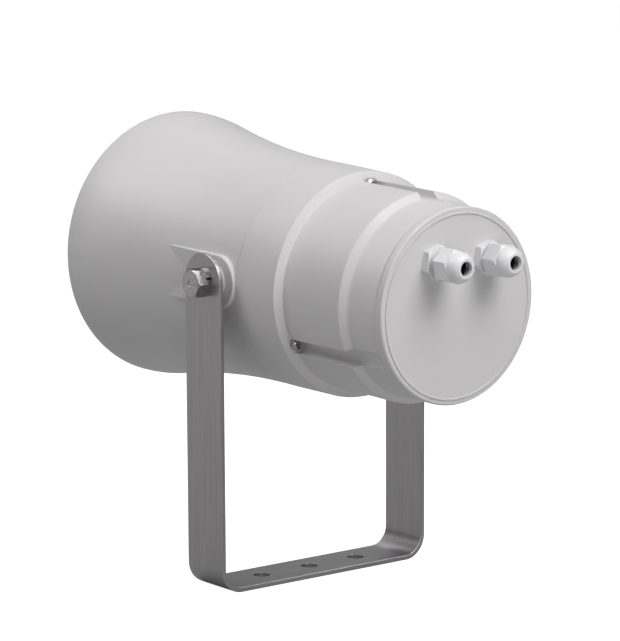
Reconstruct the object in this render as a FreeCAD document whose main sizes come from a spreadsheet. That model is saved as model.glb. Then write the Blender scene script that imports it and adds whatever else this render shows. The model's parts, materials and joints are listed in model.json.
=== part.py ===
import FreeCAD, Part
import math
import os
import re

import Sketcher
from FreeCAD import Placement, Rotation, Vector

# Horn speaker on a stirrup bracket, in millimetres.
# The row frame has +Z up, the mouth towards -Y and the origin on the bracket's underside,
# at its middle hole. The horn's own frame has its origin on the tilt axis and +Y to the rear.

SIZES = [
    # Stirrup bracket
    ("pivot_height", 187.0, "tilt axis above the bracket's underside"),
    ("tilt_angle", 3.0, "degrees by which the mouth points up at rest"),
    ("strip_width", 35.0, "width of the bracket's flat bar"),
    ("strip_gauge", 3.0, "thickness of the flat bar"),
    ("bracket_span", 159.0, "overall width across the two legs"),
    ("bend_radius", 12.0, "inside radius of the two bends"),
    ("base_hole", 10.5, "diameter of the fixing holes"),
    ("base_pitch", 37.0, "distance between the fixing holes"),
    ("strip_break", 0.5, "rounding of the bar's cut edges"),
    # Pivot fasteners
    ("bolt_diameter", 10.0, "pivot bolt's shank"),
    ("bolt_flats", 16.0, "pivot bolt's head across flats"),
    ("bolt_head", 6.4, "height of the bolt head"),
    ("bolt_length", 20.0, "length under the head"),
    ("pivot_play", 0.1, "radial play of the bolt in the leg"),
    ("washer_gauge", 2.2, "thickness of the split washer"),
    ("washer_radius", 8.8, "outside radius of the split washer"),
    ("insert_radius", 7.0, "outside radius of the threaded insert"),
    ("insert_length", 15.0, "length of the threaded insert"),
    ("thread_play", 0.1, "radial play between an insert and its screw"),
    # Bell
    ("mouth_radius", 86.0, "outside radius at the mouth"),
    ("front_reach", 138.0, "mouth's distance in front of the tilt axis"),
    ("lip_length", 20.0, "axial length of the lip that closes the flare"),
    ("joint_reach", 19.6, "joint's distance behind the tilt axis"),
    ("bell_wall", 2.8, "wall of the bell"),
    ("ear_half", 16.0, "half height of the flat ear"),
    ("leg_gap", 0.3, "gap between the pivot boss and the leg"),
    ("boss_height", 5.2, "height of the pivot boss over the ear's face"),
    ("ear_proud", 1.9, "height of the ear over the neck"),
    ("ear_round", 3.2, "centre of the ear's round end, behind the tilt axis"),
    ("ear_cover", 1.2, "depth at which the bell swallows the front of the ear"),
    ("boss_radius", 11.5, "radius of the pivot boss on the ear"),
    ("turn_radius", 20.0, "radius of the turn at the back of the sound path"),
    ("bulkhead_front", 6.0, "front of the bulkhead behind the tilt axis"),
    ("bulkhead_wall", 6.0, "thickness of the bulkhead"),
    ("rim_wall", 4.2, "wall of the rims that meet at the joint"),
    ("joint_break", 0.3, "chamfer of the two outer edges that meet at the joint"),
    # Joint gasket and housing screws
    ("gasket_width", 1.8, "width of the joint gasket"),
    ("gasket_depth", 1.5, "depth of the gasket's groove"),
    ("screw_inset", 8.8, "housing screws' distance inside the neck's radius"),
    ("screw_shank", 4.0, "diameter of the housing screws"),
    ("screw_head", 7.8, "diameter of their pan heads"),
    ("screw_head_height", 3.1, "height of their pan heads"),
    ("screw_bite", 9.0, "depth of the housing screws in the bell"),
    ("screw_boss", 5.3, "radius of the screw bosses"),
    ("screw_play", 0.2, "radial play of the screws in the housing"),
    # Rear housing
    ("flange_end", 54.8, "rear edge of the wide front part"),
    ("flange_draft", 1.0, "loss of radius from the joint to that edge"),
    ("flange_slope", 2.2, "length of the sloped step behind it"),
    ("body_step", 6.5, "depth of the first step below the neck"),
    ("rear_reach", 138.8, "rear face behind the tilt axis"),
    ("tail_length", 31.8, "length behind the middle part"),
    ("body_draft", 0.5, "loss of radius along the middle part"),
    ("shoulder", 3.6, "length of the second sloped step"),
    ("tail_step", 4.1, "depth of the second step"),
    ("rim_length", 6.4, "length of the rear rim"),
    ("tail_draft", 1.4, "loss of radius along the tail"),
    ("edge_round", 0.9, "rounding of the moulded steps and edges"),
    ("rim_proud", 0.7, "height of the rounded rim over the tail"),
    ("rim_round", 1.1, "rounding of the rear rim"),
    ("bead_inset", 3.1, "distance of the bead from the rim's edge"),
    ("bead_width", 1.1, "width of the bead"),
    ("bead_height", 0.5, "height of the bead"),
    ("housing_wall", 3.0, "wall of the housing"),
    ("slot_front", 9.4, "width of the screw slots at the screws"),
    ("slot_rear", 12.8, "width of the slots at the rear rim"),
    ("slot_front_round", 4.0, "rounding of the slot's floor at the screws"),
    ("slot_rear_round", 2.5, "rounding of the slot's floor at the rear rim"),
    ("slot_depth", 6.9, "depth of the slots under the middle part"),
    ("slot_rib", 2.2, "wall on each side of a slot inside the housing"),
    ("head_sink", 0.8, "depth of the screw seat under the step"),
    ("seat_radius", 5.4, "radius of the round pocket at the screw seat"),
    ("seat_length", 6.0, "length of that pocket"),
    # Cable glands
    ("gland_offset", 19.5, "glands' distance from the middle plane"),
    ("gland_lift", 26.9, "glands' height above the axis"),
    ("gland_flats", 18.0, "gland hexagons across flats"),
    ("gland_thread", 16.0, "diameter of the entry thread"),
    ("gland_flange", 5.0, "thickness of the fixed hexagon"),
    ("gland_gap", 3.6, "thread that shows between the hexagons, on average"),
    ("gland_slack", 1.0, "by how much one nut is tighter and the other looser"),
    ("gland_nut_hex", 10.5, "length of the dome nut's hexagon"),
    ("gland_dome", 7.0, "length of the dome"),
    ("gland_top", 15.2, "diameter of the upper thread"),
    ("gland_bore", 8.4, "diameter of the cable hole"),
    ("gland_lip", 2.5, "length of the cable hole at the tip"),
    ("gland_tip", 11.2, "diameter of the dome's flat tip"),
    ("gland_tail", 9.0, "length of the entry thread"),
    ("gland_way", 11.0, "diameter of the bore through the gland"),
    ("seal_wall", 1.0, "wall of the gland's rubber seal"),
    ("locknut_flats", 20.0, "locknut across flats"),
    ("locknut_height", 5.0, "height of the locknut"),
    ("ring_gauge", 1.0, "thickness of the gland's sealing ring"),
    ("fit_gap", 0.1, "radial gap between pieces that fit together"),
    # Throat tube and reflector
    ("throat_radius", 9.5, "radius of the throat at the driver"),
    ("tube_radius", 17.0, "inside radius of the tube's front end"),
    ("tube_wall", 2.0, "wall of the tube"),
    ("tube_reach", 70.0, "front end of the tube in front of the tilt axis"),
    ("throat_flange", 30.0, "radius of the tube's flange"),
    ("throat_plate", 4.0, "thickness of the tube's flange"),
    ("fin_gauge", 2.0, "thickness of the three fins"),
    ("hub_radius", 6.0, "radius of the hub that carries the reflector"),
    ("hub_front", 96.0, "front face of the hub in front of the tilt axis"),
    ("hub_length", 14.0, "length of the hub"),
    ("cup_radius", 39.0, "outside radius of the reflector's open end"),
    ("cup_front_radius", 33.0, "outside radius where its nose starts"),
    ("cup_open", 10.0, "open end in front of the tilt axis"),
    ("cup_nose", 82.0, "start of the nose in front of the tilt axis"),
    ("cup_tip", 106.0, "tip of the nose in front of the tilt axis"),
    ("cup_wall", 2.5, "wall of the reflector"),
    ("nose_screw", 5.0, "diameter of the reflector's screw"),
    ("nose_length", 16.0, "length of that screw"),
    ("nose_sink", 4.5, "depth of its seat in the nose"),
    # Driver
    ("gasket_gauge", 1.0, "thickness of the throat gasket"),
    ("cover_radius", 48.0, "radius of the driver's front cover"),
    ("cover_wall", 16.0, "rear face of the cover behind the bulkhead"),
    ("dome_radius", 22.0, "radius of the diaphragm's dome"),
    ("dome_height", 6.0, "height of the dome"),
    ("film_gauge", 0.6, "thickness of the diaphragm"),
    ("coil_radius", 19.9, "middle radius of the voice coil"),
    ("coil_wall", 1.0, "wall of the voice coil"),
    ("coil_length", 6.5, "length of the voice coil"),
    ("surround_radius", 34.0, "outside radius of the surround"),
    ("clamp_gauge", 2.0, "thickness of the clamp ring"),
    ("air_gap", 0.7, "air gap on each side of the voice coil"),
    ("top_plate_gauge", 5.0, "thickness of the top plate"),
    ("magnet_radius", 39.0, "outside radius of the magnet"),
    ("magnet_bore", 25.0, "inside radius of the magnet"),
    ("magnet_gauge", 14.0, "thickness of the magnet"),
    ("back_plate_gauge", 5.0, "thickness of the back plate"),
    ("driver_circle", 43.5, "radius of the circle of the driver screws"),
    ("driver_shank", 4.0, "diameter of the driver screws"),
    ("driver_head", 7.0, "diameter of their heads"),
    ("driver_bite", 5.0, "depth of the driver screws in the bulkhead"),
    # Line transformer and terminals
    ("plate_gauge", 1.5, "gauge of the transformer's bracket"),
    ("core_width", 42.0, "width of the laminated core"),
    ("core_depth", 35.0, "depth of the core along the axis"),
    ("core_stack", 16.0, "height of the stack"),
    ("limb_width", 14.0, "width of the core's middle limb"),
    ("yoke_width", 7.0, "width of the core's outer limbs and yokes"),
    ("coil_build", 6.2, "thickness of the winding over the limb"),
    ("pillar_place", 27.5, "pillars' distance from the middle plane"),
    ("pillar_flats", 5.5, "pillars across flats"),
    ("pillar_length", 40.0, "length of the pillars"),
    ("pillar_screw", 3.0, "diameter of the pillars' screws"),
    ("board_width", 64.0, "width of the terminal board"),
    ("board_height", 34.0, "height of the terminal board"),
    ("board_gauge", 1.6, "thickness of the terminal board"),
    ("block_width", 36.0, "width of the terminal block"),
    ("block_height", 16.0, "height of the terminal block"),
    ("block_depth", 14.0, "depth of the terminal block"),
    ("terminal_pitch", 9.0, "distance between the terminals"),
]
# Places that follow from those sizes: name, expression, meaning
FOLLOWING = [
    ("ear_face", "bracket_span / 2 - strip_gauge - leg_gap - boss_height", "ear's face from the axis"),
    ("neck_radius", "ear_face - ear_proud", "outside radius at the joint with the housing"),
    ("screw_circle", "neck_radius - screw_inset", "radius of the circle of the housing screws"),
    ("flange_radius", "neck_radius - flange_draft", "radius at that edge"),
    ("body_radius", "neck_radius - body_step", "radius of the middle part, in front"),
    ("body_end", "rear_reach - tail_length", "rear edge of the middle part"),
    ("body_end_radius", "body_radius - body_draft", "radius at its rear edge"),
    ("tail_radius", "body_end_radius - tail_step", "radius behind the second step"),
    ("tail_end", "rear_reach - rim_length", "rear end of the tail, where the rim starts"),
    ("tail_end_radius", "tail_radius - tail_draft", "radius where the rim starts"),
    ("rim_radius", "tail_end_radius + rim_proud", "radius of the rounded rear rim"),
    ("bead_radius", "rim_radius - bead_inset", "outside radius of the fine bead on the rear face"),
    ("slot_floor", "body_radius - slot_depth", "distance of the slot's floor from the axis"),
]

doc = FreeCAD.newDocument("horn_speaker")
sheet = doc.addObject("Spreadsheet::Sheet", "sizes")
for row, (alias, value, meaning) in enumerate(SIZES, start=1):
    sheet.set(f"A{row}", alias)
    sheet.set(f"B{row}", str(value))
    sheet.set(f"C{row}", meaning)
    sheet.setAlias(f"B{row}", alias)
doc.recompute()
NAMES = {alias for alias, value, meaning in SIZES}
PLACES = {name: expression for name, expression, meaning in FOLLOWING}


def bound(text):
    """The expression with each size in it named in the sheet, and each following place written out."""
    def named(match):
        word = match[0]
        if word in PLACES:
            return f"({bound(PLACES[word])})"
        return f"sizes.{word}" if word in NAMES else word
    return re.sub(r"[a-z_]+", named, str(text))


def number(text):
    """The present value of an expression."""
    result = sheet.evalExpression(bound(text))
    return float(getattr(result, "Value", result))


# Names for places that several pieces share
HEX = "0.5773502692"
HALF_SPAN = "bracket_span / 2"
LEG_INNER = "(bracket_span / 2 - strip_gauge)"
BOSS_FACE = "(bracket_span / 2 - strip_gauge - leg_gap)"
BULKHEAD_REAR = "(bulkhead_front + bulkhead_wall)"
SCREW_SEAT = "(flange_end + flange_slope - head_sink)"
REAR_WALL = "(rear_reach - housing_wall)"
GASKET_FACE = "(bulkhead_front + bulkhead_wall + throat_plate + gasket_gauge)"
COVER_REAR = "(bulkhead_front + bulkhead_wall + cover_wall)"
CLAMP_REAR = f"({COVER_REAR} + clamp_gauge)"
TOP_REAR = f"({CLAMP_REAR} + top_plate_gauge)"
MAGNET_REAR = f"({TOP_REAR} + magnet_gauge)"
MOTOR_REAR = f"({MAGNET_REAR} + back_plate_gauge)"
PLATE_REAR = f"({MOTOR_REAR} + plate_gauge)"
BOARD_FRONT = f"({PLATE_REAR} + pillar_length)"
BOARD_REAR = f"({BOARD_FRONT} + board_gauge)"
RISE = "(mouth_radius - neck_radius)"
REACH = "(front_reach + joint_reach)"
FLARE_ANGLE = f"(2 * atan({RISE} / {REACH}))"
LIP_RADIUS = f"(lip_length / sin({FLARE_ANGLE}))"
FLARE_RADIUS = f"({REACH} / sin({FLARE_ANGLE}) - {LIP_RADIUS})"
FLARE_CENTRE = f"(neck_radius + {FLARE_RADIUS})"
INNER_FLARE = f"({FLARE_RADIUS} + bell_wall)"
EAR_CORNER = "(sqrt(ear_face ^ 2 + ear_half ^ 2) + ear_cover)"
EAR_FRONT = f"(joint_reach - sqrt({FLARE_RADIUS} ^ 2 - ({FLARE_CENTRE} - {EAR_CORNER}) ^ 2))"
TURN_MIDDLE = "(bulkhead_front - turn_radius)"
TURN_START = f"({FLARE_CENTRE} - sqrt({INNER_FLARE} ^ 2 - (joint_reach - {TURN_MIDDLE}) ^ 2))"
TURN_CIRCLE = f"({TURN_START} - turn_radius)"
TUBE_NECK = "(throat_radius + 2 * tube_wall)"
GASKET_RADIUS = "(neck_radius - rim_wall / 2)"
HEAD_SEAT = "(bracket_span / 2 + washer_gauge)"
HEAD_FACE = f"({HEAD_SEAT} + bolt_head)"

ROW = Placement()
HORN = Placement(Vector(0, 0, number("pivot_height")), Rotation(Vector(1, 0, 0), -number("tilt_angle")))

pieces = []


def new_body(label, frame=HORN, place=("0", "0", "0"), spin=Rotation()):
    """An empty body whose own origin lies at a place in a frame, turned by a rotation."""
    body = doc.addObject("PartDesign::Body", label)
    body.Label = label
    body.Placement = frame * Placement(Vector(*[number(value) for value in place]), spin)
    pieces.append(body)
    return body


def origin_part(body, role):
    return next(part for part in body.Origin.OriginFeatures if part.Role == role)


def new_sketch(body, plane, offset):
    """An empty sketch on a plane of the body, moved along the plane's normal."""
    sketch = body.newObject("Sketcher::SketchObject", f"{body.Label}_sketch")
    sketch.AttachmentSupport = [(origin_part(body, plane), "")]
    sketch.MapMode = "FlatFace"
    sketch.setExpression("AttachmentOffset.Base.z", bound(offset))
    return sketch


def fix_point(sketch, side, end, x, y):
    """Ties one point's two coordinates to expressions."""
    for kind, text in (("DistanceX", x), ("DistanceY", y)):
        index = sketch.addConstraint(Sketcher.Constraint(kind, side, end, number(text)))
        sketch.setExpression(f"Constraints[{index}]", bound(text))


def fix_radius(sketch, side, text):
    index = sketch.addConstraint(Sketcher.Constraint("Radius", side, abs(number(text))))
    sketch.setExpression(f"Constraints[{index}]", bound(f"abs({text})"))


def arc_between(start, end, radius):
    """The smaller arc between two points, with its centre on the left where the radius is positive."""
    chord = end - start
    left = Vector(-chord.y, chord.x, 0).normalize() * math.copysign(1, radius)
    height = math.sqrt(max(radius**2 - (chord.Length / 2) ** 2, 0))
    centre = (start + end) / 2 + left * height
    first, last = (start, end) if radius > 0 else (end, start)
    angles = [math.atan2(point.y - centre.y, point.x - centre.x) for point in (first, last)]
    if angles[1] < angles[0]:
        angles[1] += 2 * math.pi
    return Part.ArcOfCircle(Part.Circle(centre, Vector(0, 0, 1), abs(radius)), *angles)


def outline(body, plane, corners, offset="0"):
    """A closed outline. A corner is (x, y), or (x, y, radius) where the side after it is an arc."""
    sketch = new_sketch(body, plane, offset)
    points = [Vector(number(corner[0]), number(corner[1]), 0) for corner in corners]
    ends = []
    for index, corner in enumerate(corners):
        start = points[index]
        finish = points[(index + 1) % len(points)]
        if len(corner) == 2:
            sketch.addGeometry(Part.LineSegment(start, finish), False)
            ends.append((1, 2))
        else:
            radius = number(corner[2])
            sketch.addGeometry(arc_between(start, finish, radius), False)
            ends.append((1, 2) if radius > 0 else (2, 1))
    for index, corner in enumerate(corners):
        after = (index + 1) % len(corners)
        sketch.addConstraint(Sketcher.Constraint("Coincident", index, ends[index][1], after, ends[after][0]))
        fix_point(sketch, index, ends[index][0], corner[0], corner[1])
        if len(corner) == 3:
            fix_radius(sketch, index, corner[2])
    return sketch


def circles(body, plane, rounds, offset="0"):
    """Circles, each (x, y, radius)."""
    sketch = new_sketch(body, plane, offset)
    for index, (x, y, radius) in enumerate(rounds):
        middle = Vector(number(x), number(y), 0)
        sketch.addGeometry(Part.Circle(middle, Vector(0, 0, 1), number(radius)), False)
        fix_point(sketch, index, 3, x, y)
        fix_radius(sketch, index, radius)
    return sketch


def box_corners(left, right, low, high):
    return [(left, low), (right, low), (right, high), (left, high)]


def hexagon_corners(flats, pointed_up=True, x="0", y="0"):
    """A hexagon by its width across flats, with two corners up and down or left and right."""
    far = f"{HEX} * {flats}"
    half = f"{flats} / 2"
    upright = [("0", far), (f"-{half}", f"{far} / 2"), (f"-{half}", f"-{far} / 2"),
               ("0", f"-{far}"), (half, f"-{far} / 2"), (half, f"{far} / 2")]
    corners = upright if pointed_up else [(b, a) for a, b in reversed(upright)]
    return [(f"{x} + {a}", f"{y} + {b}") for a, b in corners]


def add_feature(body, kind, sketch):
    """A feature of the body that uses a sketch."""
    feature = body.newObject(f"PartDesign::{kind}", f"{body.Label}_{kind.lower()}")
    feature.Profile = sketch
    return feature


def settle(body, feature, before, removes):
    """Recomputes the body and compares its volume, because a cut that misses shows no error."""
    doc.recompute()
    after = body.Shape.Volume
    if "Invalid" in feature.State or "Error" in feature.State:
        raise RuntimeError(f"{feature.Name} failed: {feature.State}")
    if (after >= before) if removes else (after <= before):
        raise RuntimeError(f"{feature.Name} changed the volume from {before:.1f} to {after:.1f}")
    return feature


def volume(body):
    return 0.0 if body.Shape.isNull() or not body.Shape.Solids else body.Shape.Volume


def turn(body, sketch, axis="V_Axis", cut=False):
    """Turns a sketch about one of its own axes, to add or to cut."""
    before = volume(body)
    feature = add_feature(body, "Groove" if cut else "Revolution", sketch)
    feature.ReferenceAxis = (sketch, [axis])
    feature.Angle = 360
    return settle(body, feature, before, cut)


def push(body, sketch, length, cut=False, flip=False, both=False):
    """Pads or pockets a sketch. A pad follows the plane's normal and a pocket goes against it."""
    before = volume(body)
    feature = add_feature(body, "Pocket" if cut else "Pad", sketch)
    feature.Type = "Length"
    feature.setExpression("Length", bound(length))
    feature.Reversed = flip
    feature.Midplane = both
    return settle(body, feature, before, cut)


def blend(body, first, second):
    """Cuts a straight transition between two sketches."""
    before = volume(body)
    feature = add_feature(body, "SubtractiveLoft", first)
    feature.Sections = [second]
    feature.Ruled = True
    return settle(body, feature, before, True)


def repeat(body, feature, count, cut=False, axis="Y_Axis"):
    """Repeats a feature evenly about an axis of the body."""
    before = volume(body)
    pattern = body.newObject("PartDesign::PolarPattern", f"{body.Label}_pattern")
    pattern.Originals = [feature]
    pattern.Axis = (origin_part(body, axis), [""])
    pattern.Angle = 360
    pattern.Occurrences = count
    body.Tip = pattern
    return settle(body, pattern, before, cut)


def mirror(body, feature, plane="YZ_Plane", cut=False):
    """Repeats a feature on the other side of a plane of the body."""
    before = volume(body)
    image = body.newObject("PartDesign::Mirrored", f"{body.Label}_mirror")
    image.Originals = [feature]
    image.MirrorPlane = (origin_part(body, plane), [""])
    body.Tip = image
    return settle(body, image, before, cut)


def soften(body, wanted, radius, kind="Fillet"):
    """Rounds or chamfers the edges that a test picks."""
    doc.recompute()
    base = body.Tip
    names = [f"Edge{index}" for index, edge in enumerate(base.Shape.Edges, start=1) if wanted(edge)]
    if not names:
        raise RuntimeError(f"{body.Label} has no such edge")
    feature = body.newObject(f"PartDesign::{kind}", f"{body.Label}_{kind.lower()}")
    feature.Base = (base, names)
    feature.setExpression("Radius" if kind == "Fillet" else "Size", bound(radius))
    doc.recompute()
    if "Invalid" in feature.State or "Error" in feature.State:
        raise RuntimeError(f"{feature.Name} failed: {feature.State}")
    return feature


def circle_edge(radius, along, axis="y"):
    """A test for full circles of a radius at a place along an axis."""
    size, place = number(radius), number(along)

    def test(edge):
        curve = edge.Curve
        if not isinstance(curve, Part.Circle):
            return False
        return abs(curve.Radius - size) < 0.01 and abs(getattr(curve.Center, axis) - place) < 0.01

    return test


def ring(label, inner, outer, start, end, **where):
    """A plain turned ring or, with an inner radius of 0, a disc."""
    body = new_body(label, **where)
    turn(body, outline(body, "XY_Plane", box_corners(inner, outer, start, end)))
    return body


def tilted(angle, radius):
    """A place on a circle round the axis, at an angle from +X towards +Z."""
    return f"{radius} * cos({angle})", f"{radius} * sin({angle})"


def bracket():
    """One flat bar bent to a U, with round leg ends, pivot holes and three fixing holes."""
    body = new_body("bracket", ROW)
    top = "(pivot_height + strip_width / 2)"
    bend = "(bend_radius + strip_gauge)"
    section = outline(body, "XZ_Plane", [
        (f"-{HALF_SPAN}", top), (f"-{HALF_SPAN}", bend, bend), (f"-{HALF_SPAN} + {bend}", "0"),
        (f"{HALF_SPAN} - {bend}", "0", bend), (HALF_SPAN, bend), (HALF_SPAN, top),
        (LEG_INNER, top), (LEG_INNER, bend, "-bend_radius"), (f"{HALF_SPAN} - {bend}", "strip_gauge"),
        (f"-{HALF_SPAN} + {bend}", "strip_gauge", "-bend_radius"), (f"-{LEG_INNER}", bend),
        (f"-{LEG_INNER}", top)])
    push(body, section, "strip_width", both=True)
    half = "strip_width / 2"
    waste = outline(body, "YZ_Plane", [
        (f"-{half} - 1", "pivot_height"), (f"-{half}", "pivot_height", f"-{half}"), ("0", top, f"-{half}"),
        (half, "pivot_height"), (f"{half} + 1", "pivot_height"), (f"{half} + 1", f"{top} + 1"),
        (f"-{half} - 1", f"{top} + 1")])
    push(body, waste, "2 * bracket_span", cut=True, both=True)
    pivots = circles(body, "YZ_Plane", [("0", "pivot_height", "bolt_diameter / 2 + pivot_play")])
    push(body, pivots, "2 * bracket_span", cut=True, both=True)
    places = ("-base_pitch", "0", "base_pitch")
    holes = circles(body, "XY_Plane", [(place, "0", "base_hole / 2") for place in places])
    push(body, holes, "2 * strip_gauge + 1", cut=True, both=True)
    side, rise = number("strip_width / 2"), number("pivot_height")

    def on_side(edge):
        """Long edges of the bar and the round ends of the legs."""
        reaches = [math.hypot(vertex.Y, max(vertex.Z - rise, 0)) for vertex in edge.Vertexes]
        long_enough = len(reaches) == 2 and edge.Length > number("strip_gauge") + 0.1
        return long_enough and all(abs(reach - side) < 0.01 for reach in reaches)

    soften(body, on_side, "strip_break")
    return body


def bell():
    """The moulded bell: outer flare, ears, bulkhead with the turn of the sound path, and screw bosses."""
    body = new_body("horn_bell")
    cos_flare, sin_flare = f"cos({FLARE_ANGLE})", f"sin({FLARE_ANGLE})"
    knee = (f"mouth_radius - {LIP_RADIUS} * (1 - {cos_flare})", "-front_reach + lip_length")
    turn(body, outline(body, "XY_Plane", [
        ("0", "joint_reach"), ("0", "-front_reach"), ("mouth_radius", "-front_reach", LIP_RADIUS),
        (knee[0], knee[1], f"-{FLARE_RADIUS}"), ("neck_radius", "joint_reach - joint_break"),
        ("neck_radius - joint_break", "joint_reach")]))
    ear = outline(body, "YZ_Plane", [
        (EAR_FRONT, "-ear_half"), ("ear_round", "-ear_half", "ear_half"),
        ("ear_round + ear_half", "0", "ear_half"), ("ear_round", "ear_half"), (EAR_FRONT, "ear_half")])
    push(body, ear, "2 * ear_face", both=True)
    face = number("ear_face")
    soften(body, lambda edge: isinstance(edge.Curve, (Part.Line, Part.Circle))
           and all(abs(abs(vertex.X) - face) < 0.01 for vertex in edge.Vertexes), "edge_round")
    # Recess behind the bulkhead, with a wall of even thickness behind the turn
    back = "(turn_radius + bell_wall)"
    rim = "(neck_radius - rim_wall)"
    web = f"({TURN_CIRCLE} + 4)"
    turn(body, outline(body, "XY_Plane", [
        ("0", "joint_reach + 1"), ("0", BULKHEAD_REAR), (web, BULKHEAD_REAR),
        (web, f"{TURN_MIDDLE} + sqrt({back} ^ 2 - ({web} - {TURN_CIRCLE}) ^ 2)", f"-{back}"),
        (rim, f"{TURN_MIDDLE} + sqrt({back} ^ 2 - ({rim} - {TURN_CIRCLE}) ^ 2)"), (rim, "joint_reach + 1")]),
        cut=True)
    boss = circles(body, "XZ_Plane", [("0", "screw_circle", "screw_boss")], "-joint_reach")
    repeat(body, push(body, boss, "joint_reach + 10"), 3)
    # Sound path in front of the bulkhead
    inner_lip = f"({LIP_RADIUS} - bell_wall)"
    turn(body, outline(body, "XY_Plane", [
        ("0", "bulkhead_front"), ("0", "-front_reach - 1"), ("mouth_radius - bell_wall", "-front_reach - 1"),
        ("mouth_radius - bell_wall", "-front_reach", inner_lip),
        (f"{FLARE_CENTRE} - {INNER_FLARE} * {cos_flare}", f"joint_reach - {INNER_FLARE} * {sin_flare}",
         f"-{INNER_FLARE}"),
        (TURN_START, TURN_MIDDLE, "turn_radius"), (TURN_CIRCLE, "bulkhead_front")]), cut=True)
    # Bosses and bores for the threaded inserts
    boss_end = f"({BOSS_FACE} - insert_length - bell_wall * 0.7)"
    pivot_boss = circles(body, "YZ_Plane", [("0", "0", "boss_radius")], boss_end)
    mirror(body, push(body, pivot_boss, f"{BOSS_FACE} - {boss_end}"))
    insert_bore = circles(body, "YZ_Plane", [("0", "0", "insert_radius + fit_gap")], BOSS_FACE)
    mirror(body, push(body, insert_bore, "insert_length", cut=True), cut=True)
    # Bores for the housing screws, the throat tube and the driver screws
    pilot = circles(body, "XZ_Plane", [("0", "screw_circle", "screw_shank / 2 + thread_play")], "-joint_reach")
    repeat(body, push(body, pilot, "screw_bite + 0.5", cut=True, flip=True), 3, cut=True)
    throat = circles(body, "XZ_Plane", [("0", "0", f"{TUBE_NECK} + fit_gap")], f"-{BULKHEAD_REAR}")
    push(body, throat, "bulkhead_wall + 1", cut=True, flip=True)
    fixing = circles(body, "XZ_Plane", [(*tilted("45", "driver_circle"), "driver_shank / 2 + thread_play")],
                     f"-{BULKHEAD_REAR}")
    repeat(body, push(body, fixing, "driver_bite + 0.5", cut=True, flip=True), 4, cut=True)
    turn(body, outline(body, "XY_Plane", box_corners(
        f"{GASKET_RADIUS} - gasket_width / 2 - fit_gap", f"{GASKET_RADIUS} + gasket_width / 2 + fit_gap",
        "joint_reach - gasket_depth", "joint_reach + 1")), cut=True)
    lip = ("mouth_radius", "mouth_radius - bell_wall")
    mouth_edges = [circle_edge(radius, "-front_reach") for radius in lip]
    soften(body, lambda edge: any(test(edge) for test in mouth_edges), "bell_wall * 0.4")
    return body


def slot_section(body, width, rounding, place):
    """The slot's section at a place along the axis: open to the outside, with a rounded floor."""
    half, above = f"({width} / 2)", "neck_radius + 5"
    return outline(body, "XZ_Plane", [
        (f"-{half}", above), (f"-{half}", f"slot_floor + {rounding}", rounding),
        (f"-{half} + {rounding}", "slot_floor"), (f"{half} - {rounding}", "slot_floor", rounding),
        (half, f"slot_floor + {rounding}"), (half, above)], f"-{place}")


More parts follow.
